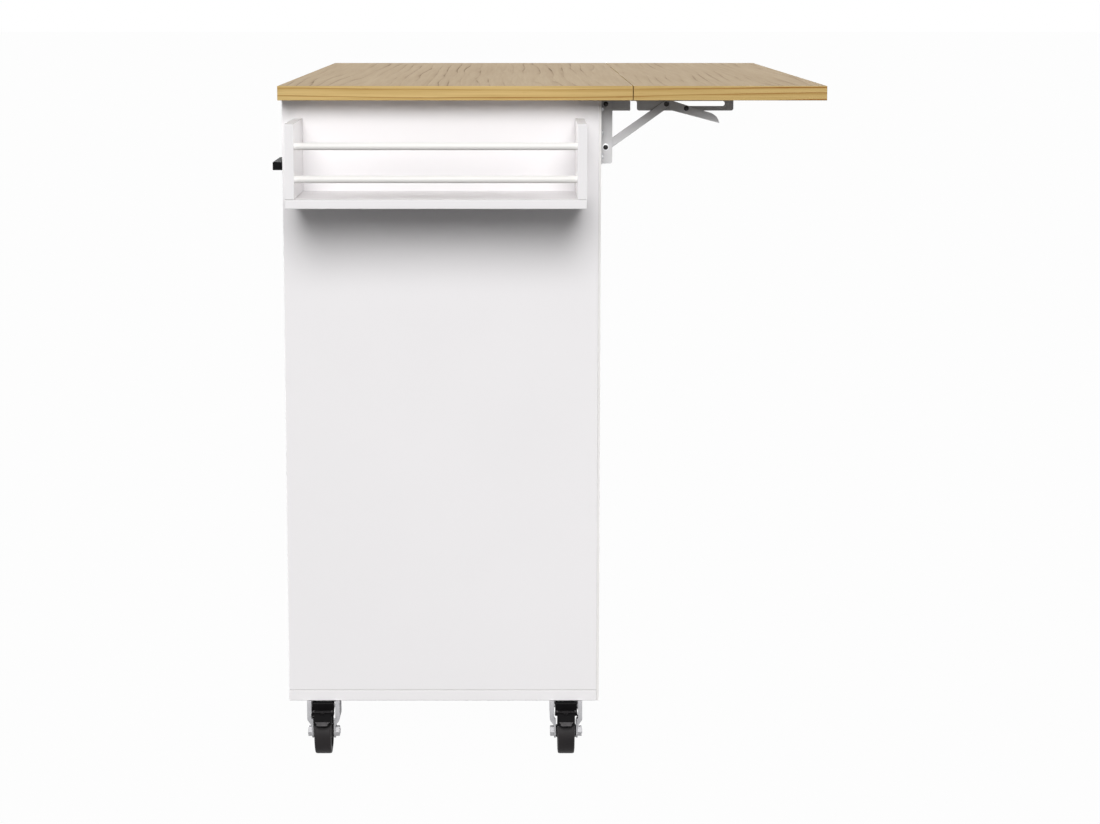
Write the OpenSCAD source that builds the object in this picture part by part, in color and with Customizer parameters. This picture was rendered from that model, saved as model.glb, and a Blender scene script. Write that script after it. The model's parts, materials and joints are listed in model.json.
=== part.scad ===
// Drop leaf kitchen island on casters, with two drawers over two doors and a spice rack on one end.
// +X runs along the worktop towards the spice rack, the drawers face -Y and the leaf hangs on +Y.
// Heights are above the floor. Each part is drawn about the middle of the cabinet's length and its
// front edge, and in_frame() moves it so that the origin is under the middle of the whole island.

/* [Worktop and leaf] */
// Length of the worktop and of the leaf
top_l = 1050; // [820:1:1300]
// Thickness of the worktop and of the leaf
top_t = 19; // [14:0.5:30]
// Height of the worktop's surface
top_h = 920; // [820:1:1050]
// How far the worktop stands out over each end panel
end_overhang = 40; // [8:1:60]
// How far the worktop stands out over the drawer fronts
front_overhang = 1.7; // [1:0.1:20]
// From the back of the cabinet to the seam between worktop and leaf
back_overhang = 40.5; // [38:0.5:60]
// Depth of the leaf
leaf_d = 254.6; // [200:0.1:330]
// Open width of the seam
seam_gap = 0.8; // [0.6:0.1:2]

/* [Cabinet] */
// Depth of the cabinet with its back board
cab_d = 426; // [350:1:520]
// Thickness of the panels, shelves, doors and drawer fronts
board_t = 15; // [12:0.5:20]
// Thickness of the back board
back_t = 3; // [2.5:0.5:6]
// Width of the boards that tie the end panels under the worktop
tie_w = 100; // [90:1:120]
// Gap around each drawer front and door
reveal = 2; // [1.5:0.1:3]
// Height of the adjustable shelves over the base board
shelf_rise = 290; // [150:1:380]
// How far an adjustable shelf stays behind the doors
shelf_setback = 8; // [4:1:40]
// Gap at each end of an adjustable shelf
shelf_play = 0.8; // [0.4:0.1:2]

/* [Drawers] */
// Height of a drawer front
drawer_front_h = 171; // [140:1:200]
// Height of a drawer's sides
drawer_side_h = 120; // [80:1:130]
// Thickness of a drawer's sides
drawer_side_t = 12; // [9:0.5:15]
// Length of a drawer box and of its slides
drawer_l = 340; // [260:1:360]
// Thickness of a drawer's bottom
drawer_bottom_t = 3; // [3:0.5:5]
// Room for one slide between a drawer and the cabinet
slide_room = 13; // [12.5:0.1:16]
// Height of a slide
slide_h = 45; // [35:1:50]
// Running gap inside a slide
slide_play = 0.4; // [0.3:0.05:0.6]

/* [Pulls] */
// Length of a square bar pull
pull_l = 107.5; // [90:0.5:140]
// Side of its square bar
pull_s = 11.5; // [8:0.5:14]
// How far it stands out from the front
pull_out = 31.8; // [26:0.1:40]
// From the free edge of a door to the middle of its pull
pull_inset = 36; // [25:1:60]

/* [Spice rack] */
// Width of the rack across the end panel
rack_w = 387.4; // [280:0.1:400]
// How far the rack stands out
rack_d = 141; // [90:1:170]
// Thickness of its boards
rack_t = 12; // [9:0.5:15]
// From the worktop's underside to the underside of the rack's shelf
rack_drop = 134.5; // [110:0.5:200]
// Height of its uprights
rack_upright_h = 97.2; // [70:0.1:105]
// Distance of the rack from the front edge of the end panel
rack_front = 15.8; // [10:0.1:19]
// Diameter of its two round rails
rail_d = 9.5; // [8:0.5:14]
// Height of the lower rail over the shelf
rail_low = 25.6; // [18:0.1:30]
// Height of the upper rail over the shelf
rail_high = 67.9; // [50:0.1:75]
// From the outer edges of the uprights to the middle of the rails
rail_inset = 8; // [7:0.5:20]

/* [Folding brackets] */
// From the outer face of an end panel to the outer face of its bracket
bracket_inset = 35; // [28:1:80]
// Thickness of the bracket's plates
plate_t = 2; // [1.5:0.1:2.5]
// Gap between plates that turn on each other
plate_gap = 0.3; // [0.3:0.05:0.5]
// Width of the upright leg
leg_w = 16; // [14:0.5:20]
// Height of the upright leg
leg_h = 88; // [80:1:120]
// Depth of the fixed arm and of the rail under the leaf
arm_h = 17; // [15:0.5:20]
// Width of the screwed flanges
flange_w = 15; // [12:1:20]
// Length of the rail under the leaf
rail_l = 130; // [120:1:160]
// From the seam to the deep part of the rail
rail_start = 8.6; // [6:0.1:14]
// Width of the brace
brace_w = 10.4; // [9:0.1:13]
// Diameter of the rivets' shanks
rivet_d = 5; // [4:0.5:6]

/* [Leaf hinges] */
// Number of hinges under the seam
hinge_count = 3; // [2:1:4]
// Length of a hinge
hinge_l = 60; // [40:1:80]
// Width of one hinge plate
hinge_w = 26; // [20:1:32]
// Diameter of the hinge barrel
barrel_d = 5.6; // [5:0.2:8]
// Diameter of the hinge pin
hinge_pin_d = 2.6; // [2:0.2:4]

/* [Casters] */
// Height from the floor to the base board
caster_h = 76; // [70:1:90]
// Diameter of a wheel
wheel_d = 62; // [50:1:62]
// Width of a wheel's tread
wheel_w = 23.4; // [18:0.2:26]
// How far a wheel trails behind its swivel
trail = 25; // [20:1:30]
// From the outer face of an end panel to a swivel
swivel_inset = 33; // [32:1:80]
// From the front of the cabinet to the front swivels
swivel_front = 47; // [40:1:80]
// From the back of the cabinet to the back swivels
swivel_back = 45; // [40:1:80]
// Diameter of the axle bolts
axle_d = 7.8; // [6:0.1:9]

/* [Hidden] */
$fn = 48;
eps = 0.01;

// Colours
white = [0.94, 0.93, 0.935];
oak = [0.80, 0.68, 0.46];
black = [0.13, 0.13, 0.13];
zinc = [0.72, 0.72, 0.72];
steel = [0.45, 0.45, 0.46];
rubber = [0.2, 0.19, 0.2];

// Cabinet
cab_l = top_l - 2 * end_overhang;
end_x = cab_l / 2;
inner_x = end_x - board_t;
base_z = caster_h;
floor_z = base_z + board_t;
top_z = top_h - top_t;
back_y = cab_d - back_t;
bay_x = board_t / 2;
tie_z = top_z - board_t;
drawer_z = tie_z - reveal - drawer_front_h;
divider_z = drawer_z - reveal - board_t;
door_z0 = floor_z + reveal;
door_z1 = divider_z - reveal;
seam_y = cab_d + back_overhang;

// Drawers
box_x0 = bay_x + slide_room;
box_x1 = inner_x - slide_room;
box_z0 = drawer_z + 22;
bottom_rise = 8;
groove_d = 6;
groove_play = 0.2;
butt_gap = 0.05;
slide_t = 1.2;
slide_z = box_z0 + drawer_side_h / 2;
slide_d = slide_room / 2;
runner_h = slide_h - 2 * slide_t - 2 * slide_play;
runner_d = slide_room - slide_t - slide_play;

// Adjustable shelves and their pins
shelf_pin_r = 2.5;
shelf_pin_in = 6;
shelf_pin_out = 9;
shelf_z = floor_z + shelf_rise;
shelf_y0 = board_t + shelf_setback;
shelf_y1 = back_y - 4;
shelf_pin_ys = [shelf_y0 + 40, shelf_y1 - 40];
shelf_pin_z = shelf_z - shelf_pin_r - 0.05;

// Spice rack
rack_z = top_z - rack_drop;
rack_x = end_x + rack_d;
rack_back = rack_front + rack_w;
rail_in = 7;
rail_x_mid = rack_x - rail_inset;
rail_zs = [for (h = [rail_low, rail_high]) rack_z + rack_t + h];

// Doors: each turns on two pins in the middle of its rounded edge
pivot_play = 1;
pivot_x = inner_x - pivot_play - board_t / 2;
pivot_d = 5;
pin_in_board = 8;
pin_in_door = 12;
pin_collar_h = reveal - 0.3;
fit = 0.06;

// Folding brackets, seen from the end of the island
bracket_x = end_x - bracket_inset;
arm_x = bracket_x - plate_t;
brace_x = bracket_x - plate_t - plate_gap;
rail_x = brace_x - plate_t - plate_gap;
brace_pivot = [cab_d + 7.1, top_z - leg_h + 21.9];
leg_rivet = [cab_d + 7.1, top_z - 8.1];
brace_end = [seam_y + 48.2, top_z - 8.1];
brace_len = norm(brace_end - brace_pivot);
brace_angle = atan2(brace_end[1] - brace_pivot[1], brace_end[0] - brace_pivot[0]);
pin_r = rivet_d / 2 + 0.7;
lever_pivot = [seam_y + 75, top_z - 13.8];
slot_h = 6.8;
slot_y0 = seam_y + 44.6;
slot_y1 = seam_y + rail_l - 3;
slot_z = top_z - 7.5;
strip_h = 4.1;
corner_r = 3;
fillet_r = 2.5;
rail_end = seam_y + rail_start + rail_l;
// The latch lever's outline about its pivot: nose, upper edge, finger tip and lower edge
lever_outline = [[-23.4, -1.9], [-23.4, 10.5], [-19.5, 10.5], [26.1, -4.1], [34.2, -6.5], [38.6, -9.3],
    [41.1, -11.7], [42.9, -15], [44.5, -19.6]];

// Leaf hinges
hinge_drop = barrel_d / 2 + 0.4;
hinge_z = top_z - hinge_drop;
hinge_plate_t = 1.6;
hinge_span = top_l * 2 / 3;
hinge_xs = [for (i = [0:hinge_count - 1]) hinge_span * (i / (hinge_count - 1) - 0.5)];
knuckle_l = hinge_l / 3;
knuckle_play = 0.3;
hinge_screw_y = hinge_w - 8;

// Screws: shank radius, length under the plate, head radius and height
screw_r = 1.9;
screw_l = 11;
head_r = 3.8;
head_h = 1.6;
leg_screws = [for (z = [14, 46, 78]) top_z - z];
arm_screws = [for (y = [12, 30]) cab_d + y];
rail_screws = [for (y = [22, 72, 122]) seam_y + y];
hinge_screws = [for (x = [-1, 1]) x * hinge_l * 0.3];
arm_screw_x = arm_x - plate_t - flange_w / 2;
rail_screw_x = rail_x - plate_t - flange_w / 2;
leg_screw_x = bracket_x + flange_w / 2 + 0.5;

// Casters, about the swivel with the wheel trailing to +X
wheel_r = wheel_d / 2;
fork_r = 22.3;
fork_t = 2.2;
fork_top = caster_h - 0.4;
crown_t = 3;
fork_front = 38;
leg_out = 16.2;
shoulder_z1 = wheel_r + 20.3;
shoulder_z0 = wheel_r + 7.8;
leg_end_r = 9.5;
leg_in = leg_out - fork_t;
stem_d = 8;
king_d = 10;
race_r = 15;
race_h = 1.2;
king_head_r = 8;
king_head_h = 2.5;
pedal_pin = [trail + 8, caster_h - 7];
pedal_pin_d = 4;
pedal_slot = 16.4;
pedal_w = 31.2;
pedal_reach = trail + 41;
arc_mid = [trail + 1.3, wheel_r + 0.5];
arc_in = wheel_r + 2.2;
wall_w = 24;
block_w = 30;
ledge_z = wheel_r + 34.2;
ledge_t = 5.2;
ledge_top_w = 27;
ledge_x = trail + 27.8;
gusset_w = [5.6, 8.6];
lip_z = wheel_r + 16.4;
lip_t = 2;
lip_rise = 3;
lip_w = 21.6;
lip_tip_w = 15;
lip_tip_r = 3;
hub_r = 9;
rim_r = 23;
tread_r = 3;
hex_r = 7.5;
hex_h = 5.6;
swivel_x = end_x - swivel_inset;
swivel_ys = [swivel_front, cab_d - swivel_back];

// The middle of the whole island
x_min = -max(top_l / 2, swivel_x + pedal_reach);
x_max = max(top_l / 2, end_x + rack_d, swivel_x + pedal_reach);
y_min = -max(pull_out, front_overhang);
y_max = seam_y + seam_gap / 2 + leaf_d;

module in_frame() {
    translate([-(x_min + x_max) / 2, -(y_min + y_max) / 2, 0])
        children();
}

// A board between two corners
module board(lo, hi) {
    translate(lo)
        cube(hi - lo);
}

// Draws its children on the right, or mirrored on the left when side is -1
module on_side(side) {
    mirror([side < 0 ? 1 : 0, 0, 0])
        children();
}

// An upright outline [y, z], made a plate between two values of x
module plate(x0, x1) {
    translate([x0, 0, 0])
        rotate([90, 0, 90])
            linear_extrude(x1 - x0)
                children();
}

// A round bar along X, Y or Z from its start
module bar_x(start, r, l) {
    translate(start)
        rotate([0, 90, 0])
            cylinder(r = r, h = l);
}

module bar_y(start, r, l) {
    translate(start)
        rotate([-90, 0, 0])
            cylinder(r = r, h = l);
}

module bar_z(start, r, l) {
    translate(start)
        cylinder(r = r, h = l);
}

// A rectangle whose corners have the radii of bottom left, bottom right, top right and top left
module rounded(lo, hi, radii) {
    corners = [[lo[0], lo[1]], [hi[0], lo[1]], [hi[0], hi[1]], [lo[0], hi[1]]];
    inward = [[1, 1], [-1, 1], [-1, -1], [1, -1]];
    difference() {
        translate(lo)
            square(hi - lo);
        for (i = [0:3])
            if (radii[i] > 0)
                difference() {
                    translate(corners[i] + (radii[i] - eps) / 2 * inward[i])
                        square(radii[i] + eps, center = true);
                    translate(corners[i] + radii[i] * inward[i])
                        circle(r = radii[i]);
                }
    }
}

// Where the line from p touches the circle about c, to the left (1) or the right (-1) of the way
function touch(p, c, r, side) =
    let (l = norm(c - p), a = atan2(c[1] - p[1], c[0] - p[0]) + side * asin(r / l))
    p + sqrt(l * l - r * r) * [cos(a), sin(a)];

// ---------------------------------------------------------------- cabinet

module base_board() {
    color(white)
        in_frame()
            difference() {
                board([-end_x, 0, base_z], [end_x, back_y, floor_z]);
                for (side = [-1, 1]) {
                    bar_z([side * pivot_x, board_t / 2, floor_z - pin_in_board], pivot_d / 2 + fit,
                        pin_in_board + eps);
                    for (y = swivel_ys)
                        bar_z([side * swivel_x, y, base_z - eps], stem_d / 2 + fit,
                            board_t + 2 * eps);
                }
            }
}

module end_panel(side) {
    color(white)
        in_frame()
            on_side(side)
                difference() {
                    board([inner_x, 0, floor_z], [end_x, back_y, top_z]);
                    shelf_pin_holes(inner_x - eps);
                }
}

module end_panel_right() {
    end_panel(1);
}

module end_panel_left() {
    end_panel(-1);
}

module back_panel() {
    color(white)
        in_frame()
            difference() {
                board([-end_x, back_y, base_z], [end_x, cab_d, top_z]);
                leg_screw_holes();
            }
}

module centre_divider() {
    color(white)
        in_frame()
            difference() {
                board([-bay_x, 0, floor_z], [bay_x, back_y, top_z]);
                for (side = [-1, 1])
                    on_side(side)
                        shelf_pin_holes(bay_x - shelf_pin_in);
            }
}

module drawer_dividers() {
    color(white)
        in_frame()
            for (side = [-1, 1])
                on_side(side)
                    difference() {
                        board([bay_x, 0, divider_z], [inner_x, back_y, divider_z + board_t]);
                        bar_z([pivot_x, board_t / 2, divider_z - eps], pivot_d / 2 + fit,
                            pin_in_board + eps);
                    }
}

// A flat tie over each drawer and an upright one at the back, which holds the brackets' screws
module top_ties() {
    color(white)
        in_frame()
            for (side = [-1, 1])
                on_side(side) {
                    board([bay_x, 0, tie_z], [inner_x, tie_w, top_z]);
                    difference() {
                        board([bay_x, back_y - board_t, top_z - tie_w], [inner_x, back_y, top_z]);
                        leg_screw_holes();
                    }
                }
}

module shelf_pin_holes(x) {
    for (y = shelf_pin_ys)
        bar_x([x, y, shelf_pin_z], shelf_pin_r + fit, shelf_pin_in + eps);
}

module adjustable_shelves() {
    color(white)
        in_frame()
            for (side = [-1, 1])
                on_side(side)
                    board([bay_x + shelf_play, shelf_y0, shelf_z],
                        [inner_x - shelf_play, shelf_y1, shelf_z + board_t]);
}

module shelf_pins() {
    color(zinc)
        in_frame()
            for (side = [-1, 1])
                on_side(side)
                    for (y = shelf_pin_ys) {
                        bar_x([bay_x - shelf_pin_in, y, shelf_pin_z], shelf_pin_r,
                            shelf_pin_in + shelf_pin_out);
                        bar_x([inner_x - shelf_pin_out, y, shelf_pin_z], shelf_pin_r,
                            shelf_pin_in + shelf_pin_out);
                    }
}

module worktop() {
    color(oak)
        in_frame()
            difference() {
                board([-top_l / 2, -front_overhang, top_z],
                    [top_l / 2, seam_y - seam_gap / 2, top_h]);
                arm_screw_holes();
                hinge_screw_holes(-1);
            }
}

// ---------------------------------------------------------------- spice rack

module spice_rack_shelf() {
    color(white)
        in_frame()
            board([end_x, rack_front, rack_z], [rack_x, rack_back, rack_z + rack_t]);
}

module spice_rack_upright(y) {
    color(white)
        in_frame()
            difference() {
                board([end_x, y, rack_z + rack_t],
                    [rack_x, y + rack_t, rack_z + rack_t + rack_upright_h]);
                spice_rail_bars(fit);
            }
}

module spice_rack_upright_front() {
    spice_rack_upright(rack_front);
}

module spice_rack_upright_back() {
    spice_rack_upright(rack_back - rack_t);
}

module spice_rail_bars(play) {
    for (z = rail_zs)
        bar_y([rail_x_mid, rack_front + rack_t - rail_in - play, z], rail_d / 2 + play,
            rack_w - 2 * rack_t + 2 * rail_in + 2 * play);
}

module spice_rack_rails() {
    color(white)
        in_frame()
            spice_rail_bars(0);
}

// ---------------------------------------------------------------- leaf and its hinges

module leaf() {
    color(oak)
        in_frame()
            difference() {
                board([-top_l / 2, seam_y + seam_gap / 2, top_z],
                    [top_l / 2, seam_y + seam_gap / 2 + leaf_d, top_h]);
                rail_screw_holes();
                hinge_screw_holes(1);
            }
}

// One plate with the knuckles of its own side: 1 for the leaf, -1 for the worktop
module hinge_plate(side, knuckles) {
    edge = seam_gap / 2;
    difference() {
        union() {
            translate([0, seam_y, 0])
                mirror([0, side < 0 ? 1 : 0, 0])
                    board([-hinge_l / 2, edge, top_z - hinge_plate_t], [hinge_l / 2, hinge_w, top_z]);
            for (k = knuckles) {
                x0 = k * knuckle_l - knuckle_l / 2 + knuckle_play;
                x1 = k * knuckle_l + knuckle_l / 2 - knuckle_play;
                bar_x([x0, seam_y, hinge_z], barrel_d / 2, x1 - x0);
                translate([0, seam_y, 0])
                    mirror([0, side < 0 ? 1 : 0, 0])
                        board([x0, edge, hinge_z], [x1, barrel_d / 2, top_z]);
            }
        }
        bar_x([-hinge_l, seam_y, hinge_z], hinge_pin_d / 2 + fit, 2 * hinge_l);
        for (k = [-1:1])
            if (len(search(k, knuckles)) == 0)
                board([k * knuckle_l - knuckle_l / 2, seam_y - barrel_d / 2 - knuckle_play,
                    hinge_z - barrel_d], [k * knuckle_l + knuckle_l / 2,
                    seam_y + barrel_d / 2 + knuckle_play, top_z + eps]);
        translate([0, 0, -eps])
            hinge_screw_set(side, screw_r + fit);
    }
}

module hinge_screw_set(side, r) {
    for (x = hinge_screws)
        bar_z([x, seam_y + side * hinge_screw_y, top_z - hinge_plate_t], r,
            hinge_plate_t + 2 * eps);
}

module leaf_hinge_plates_fixed() {
    color(zinc)
        in_frame()
            for (x = hinge_xs)
                translate([x, 0, 0])
                    hinge_plate(-1, [-1, 1]);
}

// The pins turn with the leaf
module leaf_hinge_plates_moving() {
    color(zinc)
        in_frame()
            for (x = hinge_xs) {
                translate([x, 0, 0])
                    hinge_plate(1, [0]);
                bar_x([x - hinge_l / 2 + 0.5, seam_y, hinge_z], hinge_pin_d / 2, hinge_l - 1);
            }
}

// ---------------------------------------------------------------- folding brackets

// The leg has its flange outwards on the back of the cabinet
module bracket_legs() {
    color(steel)
        in_frame()
            for (side = [-1, 1])
                on_side(side)
                    difference() {
                        union() {
                            plate(bracket_x - plate_t, bracket_x)
                                rounded([cab_d, top_z - leg_h], [cab_d + leg_w, top_z],
                                    [0, corner_r, 0, 0]);
                            board([bracket_x - plate_t, cab_d, top_z - leg_h],
                                [bracket_x + flange_w, cab_d + plate_t, top_z]);
                        }
                        rivet_bore(brace_pivot);
                        rivet_bore(leg_rivet);
                        leg_screw_holes();
                    }
}

module rivet_bore(at) {
    bar_x([bracket_x - 20, at[0], at[1]], rivet_d / 2 + fit, 40);
}

// The arm runs under the worktop with its flange inwards
module bracket_arms() {
    color(steel)
        in_frame()
            for (side = [-1, 1])
                on_side(side)
                    difference() {
                        union() {
                            plate(arm_x - plate_t, arm_x)
                                rounded([cab_d, top_z - arm_h],
                                    [seam_y - seam_gap / 2, top_z], [0, 1, 0, 0]);
                            board([arm_x - plate_t - flange_w, cab_d, top_z - plate_t],
                                [arm_x, seam_y - seam_gap / 2, top_z]);
                        }
                        rivet_bore(leg_rivet);
                        arm_screw_holes();
                    }
}

// A rivet from x0 out to x1, with a tail head behind it and a face head, on a ring or bare
module rivet(at, x0, x1, ring) {
    bar_x([x0, at[0], at[1]], rivet_d / 2, x1 - x0);
    bar_x([x0 - 1, at[0], at[1]], rivet_d / 2 + 1.2, 1);
    if (ring)
        bar_x([x1, at[0], at[1]], rivet_d / 2 + 2.1, 0.4);
    bar_x([x1, at[0], at[1]], rivet_d / 2 + 0.8, 1.2);
}

module bracket_rivets() {
    color(black)
        in_frame()
            for (side = [-1, 1])
                on_side(side) {
                    rivet(brace_pivot, brace_x - plate_t - plate_gap, bracket_x, true);
                    rivet(leg_rivet, arm_x - plate_t, bracket_x, false);
                }
}

// The brace, drawn level about its lower pivot and raised to its angle; its upper pin is flush
module brace(side) {
    color(steel)
        in_frame()
            on_side(side) {
                plate(brace_x - plate_t, brace_x)
                    translate(brace_pivot)
                        rotate(brace_angle)
                            difference() {
                                union() {
                                    translate([0, -brace_w / 2])
                                        square([brace_len, brace_w]);
                                    circle(r = brace_w / 2);
                                    translate([brace_len, 0])
                                        circle(r = brace_w / 2);
                                }
                                circle(r = rivet_d / 2 + fit);
                                translate([brace_len, 0])
                                    circle(r = pin_r + fit);
                            }
                bar_x([brace_x - plate_t, brace_end[0], brace_end[1]], pin_r, plate_t);
            }
}

module brace_right() {
    brace(1);
}

module brace_left() {
    brace(-1);
}

// The slotted rail under the leaf, with its flange inwards
module leaf_rails() {
    y0 = seam_y + seam_gap / 2;
    y1 = seam_y + rail_start;
    color(steel)
        in_frame()
            for (side = [-1, 1])
                on_side(side)
                    difference() {
                        union() {
                            plate(rail_x - plate_t, rail_x)
                                difference() {
                                    union() {
                                        rounded([y1, top_z - arm_h], [rail_end, top_z],
                                            [corner_r, corner_r, 0, 0]);
                                        translate([y0, top_z - strip_h])
                                            square([y1 - y0 + eps, strip_h]);
                                        inside_corner([y1, top_z - strip_h], fillet_r);
                                    }
                                    slot([slot_y0, slot_z], [slot_y1, slot_z], slot_h);
                                }
                            board([rail_x - plate_t - flange_w, y0, top_z - plate_t],
                                [rail_x, rail_end, top_z]);
                        }
                        rivet_bore(lever_pivot);
                        rail_screw_holes();
                    }
}

// A fillet of radius r to the lower left of a corner
module inside_corner(at, r) {
    difference() {
        translate(at - [r, r])
            square([r + eps, r + eps]);
        translate(at - [r, r])
            circle(r = r);
    }
}

module slot(a, b, h) {
    translate(a + [h / 2, -h / 2])
        square([b[0] - a[0] - h, h]);
    translate(a + [h / 2, 0])
        circle(r = h / 2);
    translate(b - [h / 2, 0])
        circle(r = h / 2);
}

module lever_rivets() {
    color(black)
        in_frame()
            for (side = [-1, 1])
                on_side(side) {
                    rivet(lever_pivot, rail_x - plate_t, bracket_x + plate_gap, false);
                    bar_x([rail_x, lever_pivot[0], lever_pivot[1]], pin_r, plate_t + plate_gap);
                }
}

module latch_lever(side) {
    color(steel)
        in_frame()
            on_side(side)
                plate(bracket_x - plate_t, bracket_x)
                    translate(lever_pivot)
                        difference() {
                            polygon(lever_outline);
                            circle(r = rivet_d / 2 + fit);
                        }
}

module latch_lever_right() {
    latch_lever(1);
}

module latch_lever_left() {
    latch_lever(-1);
}

// ---------------------------------------------------------------- screws

// Screws under the worktop or leaf point up, those in the cabinet's back point to the front
module screw_up(at, plate_h) {
    bar_z([at[0], at[1], at[2] - plate_h - head_h], head_r, head_h);
    bar_z([at[0], at[1], at[2] - plate_h], screw_r, plate_h + screw_l);
}

module screw_in(at) {
    bar_y([at[0], at[1] + plate_t, at[2]], head_r, head_h);
    bar_y([at[0], at[1] - screw_l, at[2]], screw_r, screw_l + plate_t);
}

module leg_screw_holes() {
    for (side = [-1, 1])
        for (z = leg_screws)
            bar_y([side * leg_screw_x, cab_d - screw_l - 1, z], screw_r + fit,
                screw_l + plate_t + 2);
}

module arm_screw_holes() {
    for (side = [-1, 1])
        for (y = arm_screws)
            bar_z([side * arm_screw_x, y, top_z - plate_t - 1], screw_r + fit,
                plate_t + screw_l + 2);
}

module rail_screw_holes() {
    for (side = [-1, 1])
        for (y = rail_screws)
            bar_z([side * rail_screw_x, y, top_z - plate_t - 1], screw_r + fit,
                plate_t + screw_l + 2);
}

module hinge_screw_holes(side) {
    for (hx = hinge_xs)
        for (x = hinge_screws)
            bar_z([hx + x, seam_y + side * hinge_screw_y, top_z - 1], screw_r + fit,
                screw_l + 2);
}

module cabinet_screws() {
    color(zinc)
        in_frame() {
            for (side = [-1, 1]) {
                for (z = leg_screws)
                    screw_in([side * leg_screw_x, cab_d, z]);
                for (y = arm_screws)
                    screw_up([side * arm_screw_x, y, top_z], plate_t);
            }
            for (hx = hinge_xs)
                for (x = hinge_screws)
                    screw_up([hx + x, seam_y - hinge_screw_y, top_z], hinge_plate_t);
        }
}

module leaf_screws() {
    color(zinc)
        in_frame() {
            for (side = [-1, 1])
                for (y = rail_screws)
                    screw_up([side * rail_screw_x, y, top_z], plate_t);
            for (hx = hinge_xs)
                for (x = hinge_screws)
                    screw_up([hx + x, seam_y + hinge_screw_y, top_z], hinge_plate_t);
        }
}

// ---------------------------------------------------------------- drawers

module drawer_front(side) {
    color(white)
        in_frame()
            on_side(side)
                board([bay_x + reveal, 0, drawer_z],
                    [inner_x - reveal, board_t, drawer_z + drawer_front_h]);
}

module drawer_front_right() {
    drawer_front(1);
}

module drawer_front_left() {
    drawer_front(-1);
}

// Two sides, a front board and a back board round a bottom that sits in their grooves
module drawer_box(side) {
    y0 = board_t;
    y1 = board_t + drawer_l;
    z1 = box_z0 + drawer_side_h;
    t = drawer_side_t;
    color(white)
        in_frame()
            on_side(side) {
                difference() {
                    union() {
                        board([box_x0, y0, box_z0], [box_x0 + t, y1, z1]);
                        board([box_x1 - t, y0, box_z0], [box_x1, y1, z1]);
                        for (y = [y0, y1 - t])
                            board([box_x0 + t + butt_gap, y, box_z0],
                                [box_x1 - t - butt_gap, y + t, z1]);
                    }
                    drawer_bottom(groove_play);
                }
                drawer_bottom(0);
            }
}

module drawer_bottom(play) {
    inset = drawer_side_t - groove_d;
    board([box_x0 + inset - play, board_t + inset - play, box_z0 + bottom_rise - play],
        [box_x1 - inset + play, board_t + drawer_l - inset + play,
        box_z0 + bottom_rise + drawer_bottom_t + play]);
}

module drawer_box_right() {
    drawer_box(1);
}

module drawer_box_left() {
    drawer_box(-1);
}

// A channel that opens to +X from a web at x0, h high and d deep
module channel(x0, h, d) {
    difference() {
        board([x0, board_t, slide_z - h / 2], [x0 + d, board_t + drawer_l, slide_z + h / 2]);
        board([x0 + slide_t, board_t - 1, slide_z - h / 2 + slide_t],
            [x0 + d + 1, board_t + drawer_l + 1, slide_z + h / 2 - slide_t]);
    }
}

module channel_back(x1, h, d) {
    translate([x1, 0, 0])
        mirror([1, 0, 0])
            channel(0, h, d);
}

module drawer_slides() {
    color(zinc)
        in_frame()
            for (side = [-1, 1])
                on_side(side) {
                    channel(bay_x, slide_h, slide_d);
                    channel_back(inner_x, slide_h, slide_d);
                }
}

module drawer_runners(side) {
    color(zinc)
        in_frame()
            on_side(side) {
                channel_back(box_x0, runner_h, runner_d);
                channel(box_x1, runner_h, runner_d);
            }
}

module drawer_runners_right() {
    drawer_runners(1);
}

module drawer_runners_left() {
    drawer_runners(-1);
}

// ---------------------------------------------------------------- doors

module door(side) {
    color(white)
        in_frame()
            on_side(side)
                difference() {
                    union() {
                        board([bay_x + reveal, 0, door_z0], [pivot_x, board_t, door_z1]);
                        bar_z([pivot_x, board_t / 2, door_z0], board_t / 2, door_z1 - door_z0);
                    }
                    bar_z([pivot_x, board_t / 2, door_z0 - eps], pivot_d / 2 + fit,
                        pin_in_door + 0.5);
                    bar_z([pivot_x, board_t / 2, door_z1 - pin_in_door - 0.5], pivot_d / 2 + fit,
                        pin_in_door + 1);
                }
}

module door_right() {
    door(1);
}

module door_left() {
    door(-1);
}

// The lower pins carry the doors on a collar
module door_pivot_pins() {
    color(zinc)
        in_frame()
            for (side = [-1, 1])
                on_side(side) {
                    bar_z([pivot_x, board_t / 2, floor_z - pin_in_board], pivot_d / 2,
                        pin_in_board + reveal + pin_in_door);
                    bar_z([pivot_x, board_t / 2, floor_z], pivot_d, pin_collar_h);
                    bar_z([pivot_x, board_t / 2, door_z1 - pin_in_door], pivot_d / 2,
                        pin_in_board + reveal + pin_in_door);
                }
}

// A magnetic catch under the board over each door, near its free edge
module door_catches() {
    color(white)
        in_frame()
            for (side = [-1, 1])
                on_side(side)
                    board([bay_x + 14, board_t + 0.3, divider_z - 13],
                        [bay_x + 60, board_t + 15, divider_z]);
}

// A square bar pull: the bar and its two legs, drawn along X with its back on y = 0
module pull() {
    difference() {
        board([-pull_l / 2, -pull_out, -pull_s / 2], [pull_l / 2, 0, pull_s / 2]);
        board([-pull_l / 2 + pull_s, -pull_out + pull_s, -pull_s],
            [pull_l / 2 - pull_s, eps, pull_s]);
    }
}

module drawer_pull(side) {
    color(black)
        in_frame()
            translate([side * (bay_x + inner_x) / 2, 0, drawer_z + drawer_front_h / 2])
                pull();
}

module drawer_pull_right() {
    drawer_pull(1);
}

module drawer_pull_left() {
    drawer_pull(-1);
}

module door_pull(side) {
    color(black)
        in_frame()
            translate([side * (bay_x + reveal + pull_inset), 0, door_z1 - pull_inset - pull_l / 2])
                rotate([0, 90, 0])
                    pull();
}

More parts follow.
